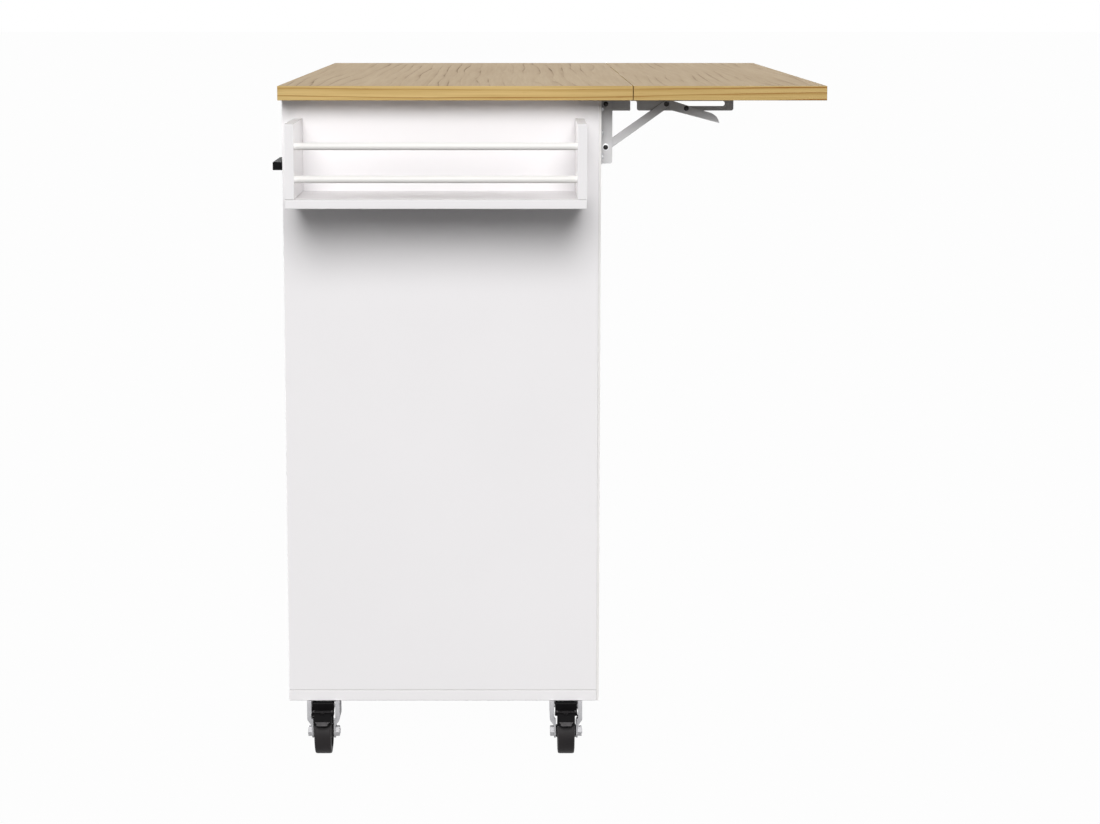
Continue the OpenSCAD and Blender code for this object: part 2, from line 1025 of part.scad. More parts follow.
module door_pull_right() {
    door_pull(1);
}

module door_pull_left() {
    door_pull(-1);
}

// ---------------------------------------------------------------- casters

// Places a caster's part: end is 1 on the right and -1 on the left, and row is 0 or 1
module at_caster(end, row) {
    translate([end * swivel_x, swivel_ys[row], 0])
        rotate([0, 0, end > 0 ? 0 : 180])
            children();
}

// The stem: its thread in the base board, its race on the board, and the king pin under it
module caster_stem() {
    head_z = fork_top - crown_t - 0.3 - king_head_h;
    bar_z([0, 0, caster_h - race_h], stem_d / 2, race_h + board_t - 1);
    bar_z([0, 0, caster_h - race_h], race_r, race_h);
    bar_z([0, 0, head_z], king_d / 2, caster_h - head_z);
    bar_z([0, 0, head_z], king_head_r, king_head_h);
}

module caster_stems() {
    color(zinc)
        in_frame()
            for (end = [-1, 1])
                for (row = [0, 1])
                    at_caster(end, row)
                        caster_stem();
}

// Half the fork's width at a height, easing from the legs out to the skirt
shoulder_steps = 8;
function ease(u) = u * u * (3 - 2 * u);
function shoulder(inset) = [for (i = [0:shoulder_steps])
    [leg_out + (fork_r - leg_out) * ease(i / shoulder_steps) - inset,
    shoulder_z0 + (shoulder_z1 - shoulder_z0) * i / shoulder_steps]];

// The fork seen from its front, as one closed outline from the bottom of a leg to the crown
module fork_front_view(inset, top) {
    half = concat([[leg_out - inset, 0]], shoulder(inset), [[fork_r - inset, top]]);
    polygon(concat(half, [for (i = [len(half) - 1:-1:0]) [-half[i][0], half[i][1]]]));
}

// The fork seen from the side, with its front edge at x
module fork_side_view(x, back) {
    axle = [trail, wheel_r];
    top = fork_top + 1;
    low_front = wheel_r + 25;
    polygon([[back, top], [back, fork_top - 14],
        touch([back, fork_top - 14], axle, leg_end_r, -1), axle,
        touch([x, low_front], axle, leg_end_r, 1), [x, low_front], [x, top]]);
    translate(axle)
        circle(r = leg_end_r);
}

module fork_body(inset, top, x, back) {
    intersection() {
        translate([-60, 0, 0])
            rotate([90, 0, 90])
                linear_extrude(120)
                    fork_front_view(inset, top);
        translate([0, 40, 0])
            rotate([90, 0, 0])
                linear_extrude(80)
                    fork_side_view(x, back);
        linear_extrude(fork_top + 2)
            union() {
                circle(r = fork_r - inset);
                translate([0, -fork_r + inset])
                    square([60, 2 * (fork_r - inset)]);
            }
    }
}

module fork() {
    difference() {
        fork_body(0, fork_top, fork_front, -fork_r);
        fork_body(fork_t, fork_top - crown_t, fork_front - fork_t, -fork_r - 20);
        board([-fork_r - 5, -leg_in, -1], [70, leg_in, fork_top - 14]);
        board([trail + 1, -pedal_slot, fork_top - 24], [70, pedal_slot, caster_h]);
        bar_z([0, 0, fork_top - crown_t - 1], king_d / 2 + fit, crown_t + 2);
        bar_z([0, 0, caster_h - race_h - 0.3], race_r + 0.4, race_h + 1);
        bar_y([trail, -40, wheel_r], axle_d / 2 + fit, 80);
        bar_y([pedal_pin[0], -40, pedal_pin[1]], pedal_pin_d / 2 + fit, 80);
    }
}

module caster_fork(end, row) {
    color(zinc)
        in_frame()
            at_caster(end, row)
                fork();
}

module caster_fork_right_front() {
    caster_fork(1, 0);
}

module caster_fork_right_back() {
    caster_fork(1, 1);
}

module caster_fork_left_front() {
    caster_fork(-1, 0);
}

module caster_fork_left_back() {
    caster_fork(-1, 1);
}

// The wheel's section: hub, web and a tread with rounded shoulders
module wheel() {
    hub = leg_in - 0.3;
    web = wheel_w / 2 - 3.2;
    translate([trail, 0, wheel_r])
        rotate([90, 0, 0])
            rotate_extrude($fn = 96) {
                translate([axle_d / 2 + fit, -hub])
                    square([hub_r - axle_d / 2 - fit, 2 * hub]);
                translate([hub_r - 1, -web])
                    square([rim_r - hub_r + 2, 2 * web]);
                rounded([rim_r, -wheel_w / 2], [wheel_r, wheel_w / 2], [1, tread_r, tread_r, 1]);
            }
}

module caster_wheel(end, row) {
    color(rubber)
        in_frame()
            at_caster(end, row)
                wheel();
}

module caster_wheel_right_front() {
    caster_wheel(1, 0);
}

module caster_wheel_right_back() {
    caster_wheel(1, 1);
}

module caster_wheel_left_front() {
    caster_wheel(-1, 0);
}

module caster_wheel_left_back() {
    caster_wheel(-1, 1);
}

// The pedal curves over the wheel: a block on the pin, a ledge, a wall with a gusset and a toe lip
module pedal() {
    half = pedal_w / 2;
    top_half = ledge_top_w / 2;
    difference() {
        union() {
            board([trail + 4, -block_w / 2, ledge_z - 8], [trail + 18.4, block_w / 2, caster_h - 1.7]);
            intersection() {
                plate(trail + 13, ledge_x)
                    polygon([[-half, ledge_z - ledge_t], [half, ledge_z - ledge_t],
                        [half, ledge_z - ledge_t + 1.2], [top_half, ledge_z], [-top_half, ledge_z],
                        [-half, ledge_z - ledge_t + 1.2]]);
                linear_extrude(caster_h)
                    rounded([trail + 12, -half], [ledge_x, half], [0, 3, 3, 0]);
            }
            pedal_slab(wall_w / 2)
                polygon([[trail + 14, lip_z], [trail + 32, lip_z], [trail + 32, lip_z + 4],
                    [trail + 26.5, ledge_z - 1], [trail + 14, ledge_z - 1]]);
            plate(trail + 20, ledge_x + 1)
                polygon([[-gusset_w[1] / 2, ledge_z - 10], [gusset_w[1] / 2, ledge_z - 10],
                    [gusset_w[0] / 2, ledge_z - 1.8], [-gusset_w[0] / 2, ledge_z - 1.8]]);
            intersection() {
                pedal_slab(pedal_w)
                    polygon([[trail + 20, lip_z], [pedal_reach, lip_z], [pedal_reach, lip_z + lip_t],
                        [trail + 31, lip_z + lip_t + lip_rise], [trail + 20, lip_z + lip_t + lip_rise]]);
                linear_extrude(caster_h)
                    pedal_lip();
            }
        }
        bar_y([arc_mid[0], -40, arc_mid[1]], arc_in, 80);
        bar_y([pedal_pin[0], -40, pedal_pin[1]], pedal_pin_d / 2 + fit, 80);
    }
}

// An outline [x, z], made a slab that reaches half to each side
module pedal_slab(half) {
    translate([0, half, 0])
        rotate([90, 0, 0])
            linear_extrude(2 * half)
                children();
}

module pedal_lip() {
    root_x = trail + 31;
    tip_x = pedal_reach - lip_tip_r;
    tip_y = lip_tip_w / 2 - lip_tip_r;
    polygon([[trail + 20, -lip_w / 2], [root_x, -lip_w / 2], [pedal_reach, -tip_y],
        [pedal_reach, tip_y], [root_x, lip_w / 2], [trail + 20, lip_w / 2]]);
    for (side = [-1, 1])
        translate([tip_x, side * tip_y])
            circle(r = lip_tip_r);
}

module brake_pedal(end, row) {
    color(black)
        in_frame()
            at_caster(end, row)
                pedal();
}

module brake_pedal_right_front() {
    brake_pedal(1, 0);
}

module brake_pedal_right_back() {
    brake_pedal(1, 1);
}

module brake_pedal_left_front() {
    brake_pedal(-1, 0);
}

module brake_pedal_left_back() {
    brake_pedal(-1, 1);
}

// A hexagon bolt and its nut through the legs, and the pin that the pedal turns on
module axle_and_pedal_pin() {
    translate([trail, 0, wheel_r]) {
        bar_y([0, -leg_out - 1, 0], axle_d / 2, 2 * leg_out + hex_h + 1.6);
        hexagon(-leg_out - hex_h);
        difference() {
            hexagon(leg_out);
            bar_y([0, 0, 0], axle_d / 2 + fit, 40);
        }
    }
    bar_y([pedal_pin[0], 0.2 - fork_r, pedal_pin[1]], pedal_pin_d / 2, 2 * fork_r - 0.4);
}

module hexagon(y) {
    translate([0, y, 0])
        rotate([-90, 0, 0])
            cylinder(r = hex_r, h = hex_h, $fn = 6);
}

module caster_axle(end, row) {
    color(zinc)
        in_frame()
            at_caster(end, row)
                axle_and_pedal_pin();
}

module caster_axle_right_front() {
    caster_axle(1, 0);
}

module caster_axle_right_back() {
    caster_axle(1, 1);
}

module caster_axle_left_front() {
    caster_axle(-1, 0);
}

module caster_axle_left_back() {
    caster_axle(-1, 1);
}

base_board();
end_panel_right();
end_panel_left();
back_panel();
centre_divider();
drawer_dividers();
top_ties();
adjustable_shelves();
shelf_pins();
worktop();
spice_rack_shelf();
spice_rack_upright_front();
spice_rack_upright_back();
spice_rack_rails();
leaf_hinge_plates_fixed();
bracket_legs();
bracket_arms();
bracket_rivets();
cabinet_screws();
door_pivot_pins();
door_catches();
drawer_slides();
caster_stems();
leaf();
leaf_hinge_plates_moving();
leaf_rails();
lever_rivets();
leaf_screws();
brace_right();
brace_left();
latch_lever_right();
latch_lever_left();
drawer_front_right();
drawer_front_left();
drawer_box_right();
drawer_box_left();
drawer_pull_right();
drawer_pull_left();
drawer_runners_right();
drawer_runners_left();
door_right();
door_left();
door_pull_right();
door_pull_left();
caster_fork_right_front();
caster_fork_right_back();
caster_fork_left_front();
caster_fork_left_back();
caster_wheel_right_front();
caster_wheel_right_back();
caster_wheel_left_front();
caster_wheel_left_back();
brake_pedal_right_front();
brake_pedal_right_back();
brake_pedal_left_front();
brake_pedal_left_back();
caster_axle_right_front();
caster_axle_right_back();
caster_axle_left_front();
caster_axle_left_back();
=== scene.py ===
"""Drop leaf kitchen island: finishes, eased edges, small fittings, light and camera.

Lengths are in metres in the row frame: +X runs towards the spice rack and the drawers face -Y.
"""

import json
import math

import bmesh
import bpy
from mathutils import Matrix, Vector

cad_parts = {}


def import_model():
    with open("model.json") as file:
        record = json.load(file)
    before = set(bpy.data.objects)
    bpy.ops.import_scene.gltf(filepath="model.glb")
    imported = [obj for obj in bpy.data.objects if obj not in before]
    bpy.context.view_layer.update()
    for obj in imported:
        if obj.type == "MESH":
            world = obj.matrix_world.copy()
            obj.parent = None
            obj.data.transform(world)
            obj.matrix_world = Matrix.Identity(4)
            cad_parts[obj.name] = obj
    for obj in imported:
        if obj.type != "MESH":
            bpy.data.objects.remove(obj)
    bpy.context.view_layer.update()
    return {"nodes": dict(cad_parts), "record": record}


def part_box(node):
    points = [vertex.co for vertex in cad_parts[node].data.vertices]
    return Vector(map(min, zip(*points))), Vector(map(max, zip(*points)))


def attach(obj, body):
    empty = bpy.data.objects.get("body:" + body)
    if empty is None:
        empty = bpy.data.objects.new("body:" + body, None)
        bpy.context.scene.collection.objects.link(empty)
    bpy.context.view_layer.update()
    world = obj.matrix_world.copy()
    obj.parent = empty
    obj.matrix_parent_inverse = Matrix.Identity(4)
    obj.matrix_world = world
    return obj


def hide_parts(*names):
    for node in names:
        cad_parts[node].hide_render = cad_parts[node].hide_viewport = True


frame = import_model()
scene = bpy.context.scene

MM = 0.001
QUARTER = math.pi / 2
X, Y, Z = Vector((1, 0, 0)), Vector((0, 1, 0)), Vector((0, 0, 1))
MERGE_DISTANCE = 2e-6
SLOTS = {s["node"]: s["material_slot"] for s in frame["record"]["subparts"]}
BODIES = {n: b for b, ns in frame["record"]["behaviour"]["bodies"].items() for n in ns}
SIDES = ("right", "left")
CORNERS = ("right_front", "right_back", "left_front", "left_back")


# ---------------------------------------------------------------- shader groups


def feed(tree, socket, value):
    """Links a socket to an input, or sets the input to a plain value."""
    if isinstance(value, bpy.types.NodeSocket):
        tree.links.new(value, socket)
    else:
        socket.default_value = value


def put(tree, kind, inputs=None, **settings):
    """Adds a node, sets its properties, and links or sets its inputs."""
    made = tree.nodes.new(kind)
    for name, value in settings.items():
        setattr(made, name, value)
    for name, value in (inputs or {}).items():
        feed(tree, made.inputs[name], value)
    return made


def group(name, colours, amounts, build):
    """A shader node group, from a vector, colours and amounts to a finish; build fills it in."""
    tree = bpy.data.node_groups.new(name, "ShaderNodeTree")
    inputs = [("Vector", "Vector")] + [(label, "Color") for label in colours]
    inputs += [(label, "Float") for label in amounts]
    outputs = [("Colour", "Color"), ("Height", "Float"), ("Roughness", "Float")]
    for way, sockets in (("INPUT", inputs), ("OUTPUT", outputs)):
        for label, kind in sockets:
            tree.interface.new_socket(label, in_out=way, socket_type="NodeSocket" + kind)
    given = tree.nodes.new("NodeGroupInput").outputs
    result = tree.nodes.new("NodeGroupOutput").inputs
    build(tree, given, result)
    return tree


def math_node(tree, operation, *values):
    made = put(tree, "ShaderNodeMath", dict(enumerate(values)), operation=operation)
    return made.outputs[0]


def plus(tree, first, second):
    return math_node(tree, "ADD", first, second)


def times(tree, first, second):
    return math_node(tree, "MULTIPLY", first, second)


def stretched(tree, vector, scale):
    return put(tree, "ShaderNodeMapping", {"Vector": vector, "Scale": scale}).outputs[0]


def noise(tree, vector, scale=1.0, detail=4.0, roughness=0.5):
    return put(tree, "ShaderNodeTexNoise", {"Vector": vector, "Scale": scale, "Detail": detail,
                                            "Roughness": roughness}).outputs[0]


def blended(tree, factor, first, second):
    """Mixes two colours; a Mix node keeps its colour sockets at inputs 6 and 7 and output 2."""
    made = put(tree, "ShaderNodeMix", data_type="RGBA")
    for index, value in ((0, factor), (6, first), (7, second)):
        feed(tree, made.inputs[index], value)
    return made.outputs[2]


def ranged(tree, value, low, high, out_low=0.0, out_high=1.0):
    return put(tree, "ShaderNodeMapRange", {"Value": value, "From Min": low, "From Max": high,
                                            "To Min": out_low, "To Max": out_high}).outputs[0]


def build_surface_field(tree, given, result):
    """Broad drift of tone, fine texture and a roughness value, for painted and plated faces."""
    broad = noise(tree, given["Vector"], given["Broad Scale"], 3.0)
    fine = noise(tree, given["Vector"], given["Fine Scale"], 5.0, 0.6)
    drift = ranged(tree, broad, 0.3, 0.7)
    tree.links.new(blended(tree, drift, given["Colour"], given["Tint"]), result["Colour"])
    tree.links.new(fine, result["Height"])
    spread = times(tree, math_node(tree, "SUBTRACT", fine, 0.5), given["Spread"])
    tree.links.new(plus(tree, spread, given["Roughness"]), result["Roughness"])


def build_oak_figure(tree, given, result):
    """Flat-sawn oak with its grain along X: ring lines in long arches, fibres and short pores."""
    vector = given["Vector"]
    warp = noise(tree, stretched(tree, vector, (0.8, 5.0, 5.0)), 1.0, 2.0)
    uneven = noise(tree, stretched(tree, vector, (1.0, 32, 32)), 1.0, 2.0)
    ripple = noise(tree, stretched(tree, vector, (6, 60, 60)), 1.0, 3.0)
    across = put(tree, "ShaderNodeSeparateXYZ", {0: vector}).outputs
    phase = times(tree, plus(tree, across[1], across[2]), given["Rings"])
    for wave, strength in ((warp, given["Arch"]), (uneven, 1.6), (ripple, 0.3)):
        phase = plus(tree, phase, times(tree, wave, strength))
    ring = math_node(tree, "POWER", math_node(tree, "FRACT", phase), 6.0)
    patch = noise(tree, stretched(tree, vector, (2.2, 14, 40)), 1.0, 3.0)
    ring = times(tree, ring, ranged(tree, patch, given["Calm"], 0.66))
    fibre = noise(tree, stretched(tree, vector, (5, 210, 420)), 1.0, 6.0, 0.65)
    pore = noise(tree, stretched(tree, vector, (38, 900, 900)), 1.0, 2.0)
    pore = ranged(tree, pore, 0.62, 0.72)
    broad = noise(tree, stretched(tree, vector, (0.8, 6, 6)), 1.0, 3.0)
    tone = times(tree, ring, given["Figure"])
    for part in (ranged(tree, fibre, 0.3, 0.75, 0.0, 0.42),
                 ranged(tree, broad, 0.3, 0.7, -0.12, 0.22), times(tree, pore, 0.22)):
        tone = plus(tree, tone, part)
    colour = blended(tree, ranged(tree, tone, 0.0, 0.5), given["Light"], given["Middle"])
    colour = blended(tree, ranged(tree, tone, 0.5, 1.15), colour, given["Dark"])
    tree.links.new(colour, result["Colour"])
    tree.links.new(plus(tree, fibre, times(tree, pore, -0.8)), result["Height"])
    tree.links.new(plus(tree, times(tree, tone, 0.12), given["Roughness"]), result["Roughness"])


SURFACE_FIELD = group("surface_field", ("Colour", "Tint"),
                      ("Broad Scale", "Fine Scale", "Roughness", "Spread"), build_surface_field)
OAK_FIGURE = group("oak_figure", ("Light", "Middle", "Dark"),
                   ("Rings", "Arch", "Figure", "Calm", "Roughness"), build_oak_figure)


# ---------------------------------------------------------------- materials


def linear(r, g, b):
    """A screen colour, 0 to 255, as the linear colour that the shader takes."""
    return tuple(c / 255 / 12.92 if c < 11 else ((c / 255 + 0.055) / 1.055) ** 2.4
                 for c in (r, g, b)) + (1.0,)


def material(name, specular=0.5, metallic=0.0):
    made = bpy.data.materials.new(name)
    made.use_nodes = True
    shader = made.node_tree.nodes["Principled BSDF"]
    shader.inputs["Specular IOR Level"].default_value = specular
    shader.inputs["Metallic"].default_value = metallic
    return made, made.node_tree, shader


def placed(tree, turn=(0, 0, 0), shift=(0, 0, 0), scale=(1, 1, 1)):
    """Object coordinates, turned, shifted and stretched for one finish."""
    source = tree.nodes.new("ShaderNodeTexCoord").outputs["Object"]
    return put(tree, "ShaderNodeMapping", {"Vector": source, "Rotation": turn, "Location": shift,
                                           "Scale": scale}).outputs[0]


def wired(tree, shader, figure, values, vector, bump, depth):
    """Puts in a group with its values, and links its colour, roughness and bump to the shader."""
    field = put(tree, "ShaderNodeGroup", node_tree=figure)
    for label, value in values.items():
        field.inputs[label].default_value = value
    tree.links.new(vector, field.inputs["Vector"])
    tree.links.new(field.outputs["Colour"], shader.inputs["Base Color"])
    tree.links.new(field.outputs["Roughness"], shader.inputs["Roughness"])
    relief = put(tree, "ShaderNodeBump", {"Height": field.outputs["Height"], "Strength": bump,
                                          "Distance": depth})
    tree.links.new(relief.outputs[0], shader.inputs["Normal"])


def surface(name, colour, tint, roughness, spread=0.1, broad=6.0, fine=900.0, bump=0.15,
            depth=0.0002, stretch=(1, 1, 1), **shader_values):
    """A painted, moulded or plated finish; broad and fine are the scales of its two noises."""
    made, tree, shader = material(name, **shader_values)
    values = {"Colour": linear(*colour), "Tint": linear(*tint), "Broad Scale": broad,
              "Fine Scale": fine, "Roughness": roughness, "Spread": spread}
    wired(tree, shader, SURFACE_FIELD, values, placed(tree, scale=stretch), bump, depth)
    return made


def oak(name, tones, rings, arch, figure, turn=(0, 0, 0), shift=(0, 0, 0), specular=0.05,
        roughness=0.8, calm=0.4):
    """An oak finish of three tones; more calm leaves more of the face without ring lines."""
    made, tree, shader = material(name, specular=specular)
    values = {label: linear(*tone) for label, tone in zip(("Light", "Middle", "Dark"), tones)}
    values.update({"Rings": rings, "Arch": arch, "Figure": figure, "Calm": calm,
                   "Roughness": roughness})
    wired(tree, shader, OAK_FIGURE, values, placed(tree, turn, shift), 0.12, 0.0003)
    return made


FINISH = {
    "white_board": surface("white_laminate", (240, 238, 239), (237, 235, 236), 0.42, 0.08,
                           broad=3.0, fine=1400.0, bump=0.10, specular=0.25),
    "white_wood": surface("white_painted_wood", (243, 241, 239), (238, 236, 233), 0.36, 0.12,
                          broad=14.0, fine=500.0, bump=0.10, stretch=(1, 0.2, 1), specular=0.25),
    "zinc_steel": surface("bright_zinc", (196, 197, 199), (176, 178, 182), 0.34, 0.18, broad=60.0,
                          fine=1600.0, bump=0.08, metallic=1.0),
    "bracket_steel": surface("grey_zinc", (206, 205, 206), (192, 191, 192), 0.48, 0.16, broad=45.0,
                             fine=1300.0, bump=0.10, stretch=(1, 0.35, 1), metallic=0.1,
                             specular=0.2),
    "black_rivet": surface("blackened_steel", (44, 40, 40), (30, 28, 28), 0.38, 0.2, broad=200.0,
                           fine=2200.0, bump=0.12, metallic=0.6),
    "black_powder_coat": surface("black_powder_coat", (27, 27, 28), (21, 21, 22), 0.82, 0.14,
                                 broad=30.0, fine=2600.0, bump=0.35, depth=0.0001, specular=0.05),
    "white_plastic": surface("moulded_white_plastic", (232, 231, 228), (224, 223, 220), 0.38, 0.08,
                             broad=40.0, fine=1800.0, bump=0.08),
    "caster_steel": surface("caster_zinc", (200, 199, 201), (186, 186, 189), 0.55, 0.18, broad=50.0,
                            fine=1500.0, bump=0.08, metallic=0.1, specular=0.2),
    "black_tread": surface("black_tread", (44, 41, 42), (36, 34, 35), 0.5, 0.16, broad=35.0,
                           fine=1800.0, bump=0.16, specular=0.12),
    "black_nylon": surface("moulded_black_nylon", (12, 11, 12), (16, 15, 16), 0.5, 0.14, broad=70.0,
                           fine=2000.0, bump=0.12, specular=0.03),
}
WHITE_RING = surface("plated_ring", (232, 231, 232), (216, 215, 218), 0.3, 0.12, broad=80.0,
                     fine=1800.0, bump=0.06, metallic=0.5)
BARE_BOARD = surface("back_board_face", (238, 236, 235), (235, 233, 231), 0.6, 0.12, broad=5.0,
                     fine=1500.0, bump=0.08, specular=0.2)
TOP_TONES = ((178, 157, 125), (166, 144, 113), (106, 83, 59))
BAND_TONES = ((214, 187, 130), (190, 159, 100), (144, 92, 42))
UNDER_TONES = ((166, 145, 116), (156, 134, 104), (128, 104, 78))
OAK_TOP = oak("oak_top", TOP_TONES, 58.0, 5.0, 0.8, specular=0.02, roughness=0.85, calm=0.42)
OAK_BAND_END = oak("oak_band_end", BAND_TONES, 120.0, 6.0, 1.3, turn=(0, 0, QUARTER),
                   shift=(0.3, 0.1, 0.2), calm=0.2)
OAK_BAND_SIDE = oak("oak_band_side", BAND_TONES, 120.0, 6.0, 1.3, shift=(0.7, 0.4, 0.1), calm=0.2)
OAK_UNDER = oak("oak_underside", UNDER_TONES, 22.0, 2.6, 0.3, shift=(0.4, 0.8, 0.3))
# Dark seam colour for the oak side edges, also used as painted shadow on their lower eased edges.
BAND_SEAM_AND_SHADE = surface("band_seam_and_painted_shadow", (150, 116, 72), (138, 104, 62), 0.7, broad=20.0, fine=900.0,
                    stretch=(0.3, 0.3, 1), specular=0.05)
# Darker grey for level eased edges: partly the board's core, partly painted groove shade.
BOARD_CORE_AND_GROOVE_SHADE = surface("board_core_and_painted_groove_shade", (206, 204, 203), (198, 196, 194), 0.6, broad=30.0, fine=1400.0,
                      specular=0.1)
# Painted shade: dark grey for the narrow edge faces of the steel plates.
PAINTED_EDGE_SHADE = surface("painted_steel_edge_shade", (74, 72, 72), (62, 60, 60), 0.55, 0.2, broad=90.0, fine=1800.0,
                   specular=0.1, metallic=0.2)
# Painted light: a lighter grey for the pedals' upward faces, where light from above falls.
PAINTED_TOP_LIGHT = surface("painted_top_light", (92, 90, 91), (80, 78, 79), 0.6, 0.16, broad=120.0, fine=2600.0,
                   bump=0.3, specular=0.1)


# ---------------------------------------------------------------- making pieces


def boxed(bm, low, high):
    """A box between two corners."""
    low, high = Vector(low), Vector(high)
    size = high - low
    place = Matrix.Translation((low + high) / 2) @ Matrix.Diagonal((*size, 1))
    return bmesh.ops.create_cube(bm, size=1.0, matrix=place)["verts"]


def eased(bm, radius, segments=2, over=30.0, edges=None):
    """Rounds the edges that turn by more than an angle."""
    if edges is None:
        edges = [e for e in bm.edges
                 if len(e.link_faces) == 2 and e.calc_face_angle() > math.radians(over)]
    bmesh.ops.bevel(bm, geom=edges, offset=radius, affect="EDGES", segments=segments, profile=0.5,
                    material=-1, clamp_overlap=True)


def facing(at, along):
    """The placement that takes the origin to a point and the Z axis to a direction."""
    return Matrix.Translation(at) @ Vector(along).to_track_quat("Z", "Y").to_matrix().to_4x4()


def turned(bm, outline, at, along, steps=32):
    """Spins an outline of (radius, distance) pairs about a line from at, and closes its poles."""
    before = set(bm.verts)
    chain = [bm.verts.new((radius, 0, far)) for radius, far in outline]
    links = [bm.edges.new(pair) for pair in zip(chain, chain[1:])]
    bmesh.ops.spin(bm, geom=chain + links, cent=(0, 0, 0), axis=(0, 0, 1), dvec=(0, 0, 0),
                   angle=math.tau, steps=steps, use_merge=True)
    made = [v for v in bm.verts if v not in before]
    bmesh.ops.remove_doubles(bm, verts=made, dist=1e-7)
    made = [v for v in bm.verts if v not in before]
    bmesh.ops.transform(bm, matrix=facing(at, along), verts=made)
    return made


def paint(verts, index):
    """Gives the faces at some vertices a material index."""
    for face in {f for v in verts for f in v.link_faces}:
        face.material_index = index


def merged(node):
    """A CAD node's mesh, with its doubled points merged."""
    bm = bmesh.new()
    bm.from_mesh(frame["nodes"][node].data)
    bmesh.ops.remove_doubles(bm, verts=bm.verts, dist=MERGE_DISTANCE)
    return bm


def node_copy(node):
    """A merged copy of a CAD node's mesh, with its flat faces whole."""
    bm = merged(node)
    bmesh.ops.dissolve_limit(bm, angle_limit=math.radians(0.5), verts=bm.verts, edges=bm.edges)
    return bm


def solids(node):
    """The (low, high) box of each separate solid of a CAD node."""
    bm = merged(node)
    left, found = set(bm.verts), []
    while left:
        reach = [left.pop()]
        members = []
        while reach:
            vert = reach.pop()
            members.append(vert.co.copy())
            for edge in vert.link_edges:
                other = edge.other_vert(vert)
                if other in left:
                    left.remove(other)
                    reach.append(other)
        found.append((Vector([min(c[i] for c in members) for i in range(3)]),
                      Vector([max(c[i] for c in members) for i in range(3)])))
    bm.free()
    return found


def piece(name, bm, node, finishes=None, crease=50.0, turn_out=False):
    """Makes a mesh object that stands for a CAD node, with its body and its finish, by default that
    of its slot.
    """
    if turn_out:
        bmesh.ops.recalc_face_normals(bm, faces=bm.faces)
    mesh = bpy.data.meshes.new(name)
    bm.to_mesh(mesh)
    bm.free()
    for finish in finishes or [FINISH[SLOTS[node]]]:
        mesh.materials.append(finish)
    mesh.shade_smooth()
    mesh.set_sharp_from_angle(angle=math.radians(crease))
    made = bpy.data.objects.new(name, mesh)
    scene.collection.objects.link(made)
    weighted = made.modifiers.new("flat_faces", "WEIGHTED_NORMAL")
    weighted.keep_sharp = True
    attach(made, BODIES[node])
    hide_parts(node)
    return made


# ---------------------------------------------------------------- boards


def slanted(part):
    """Tells from one part of its normal whether a face leans along that axis."""
    return 0.3 < abs(part) < 0.95


def plain_board(node, radius=0.9 * MM, finish=None):
    """A board with eased edges, its level ones darker: partly the board's core, partly painted
    shade, as in the groove where two boards meet.
    """
    bm = bmesh.new()
    boxed(bm, *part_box(node))
    eased(bm, radius, 3)
    # Level eased faces take the darker grey, partly as painted shade in a groove.
    for face in bm.faces:
        if slanted(face.normal.z):
            face.material_index = 1
    return piece(node + "_board", bm, node, [finish or FINISH[SLOTS[node]], BOARD_CORE_AND_GROOVE_SHADE])


OAK_FINISHES = [OAK_TOP, OAK_BAND_END, OAK_BAND_SIDE, OAK_UNDER, BAND_SEAM_AND_SHADE]


def oak_board(node):
    """A laminated board: figured top, edge bands, plain underside, a dark seam along the side edges
    and painted shadow along the lower edges.
    """
    bm = bmesh.new()
    boxed(bm, *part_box(node))
    eased(bm, 0.5 * MM, 3)
    for face in bm.faces:
        normal = face.normal
        # Side eased faces take the dark seam colour; lower eased faces take it as painted shadow.
        if slanted(normal.y) or (normal.z < 0 and slanted(normal.z)):
            finish = BAND_SEAM_AND_SHADE
        elif abs(normal.z) > 0.9:
            finish = OAK_TOP if normal.z > 0 else OAK_UNDER
        else:
            finish = OAK_BAND_END if abs(normal.x) > abs(normal.y) else OAK_BAND_SIDE
        face.material_index = OAK_FINISHES.index(finish)
    return piece(node + "_board", bm, node, OAK_FINISHES)


def door_board(side):
    """A door whose hinge edge is a full half round, as it turns in its opening."""
    node = "door_" + side
    low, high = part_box(node)
    bm = bmesh.new()
    boxed(bm, low, high)
    hinge_x = high.x if side == "right" else low.x
    tall = (high.z - low.z) / 2
    upright = [e for e in bm.edges if all(abs(v.co.x - hinge_x) < 1e-6 for v in e.verts)
               and abs(e.verts[0].co.z - e.verts[1].co.z) > tall]
    eased(bm, (high.y - low.y) / 2 - 0.01 * MM, 12, edges=upright)
    eased(bm, 0.6 * MM, 3, over=40.0)
    return piece(node + "_board", bm, node)


def eased_copy(node, radius, segments=2, over=30.0):
    """A CAD node's own shape with its edges rounded."""
    bm = node_copy(node)
    eased(bm, radius, segments, over)
    return piece(node + "_shape", bm, node)


# Narrow faces up to this width get the painted edge shade.
EDGE_SHADE_WIDTH = 2.6 * MM


def paint_edge_shade(bm, index):
    """Marks the narrow faces along the edges of a plate in the YZ plane, for painted edge shade."""
    for face in bm.faces:
        width = face.calc_area() / max(edge.calc_length() for edge in face.edges)
        if abs(face.normal.x) < 0.93 and width < EDGE_SHADE_WIDTH:
            face.material_index = index


def plate(node):
    """A punched bracket plate, its narrow edges in painted shade."""
    bm = node_copy(node)
    eased(bm, 0.35 * MM)
    paint_edge_shade(bm, 1)
    return piece(node + "_plate", bm, node, [FINISH[SLOTS[node]], PAINTED_EDGE_SHADE])


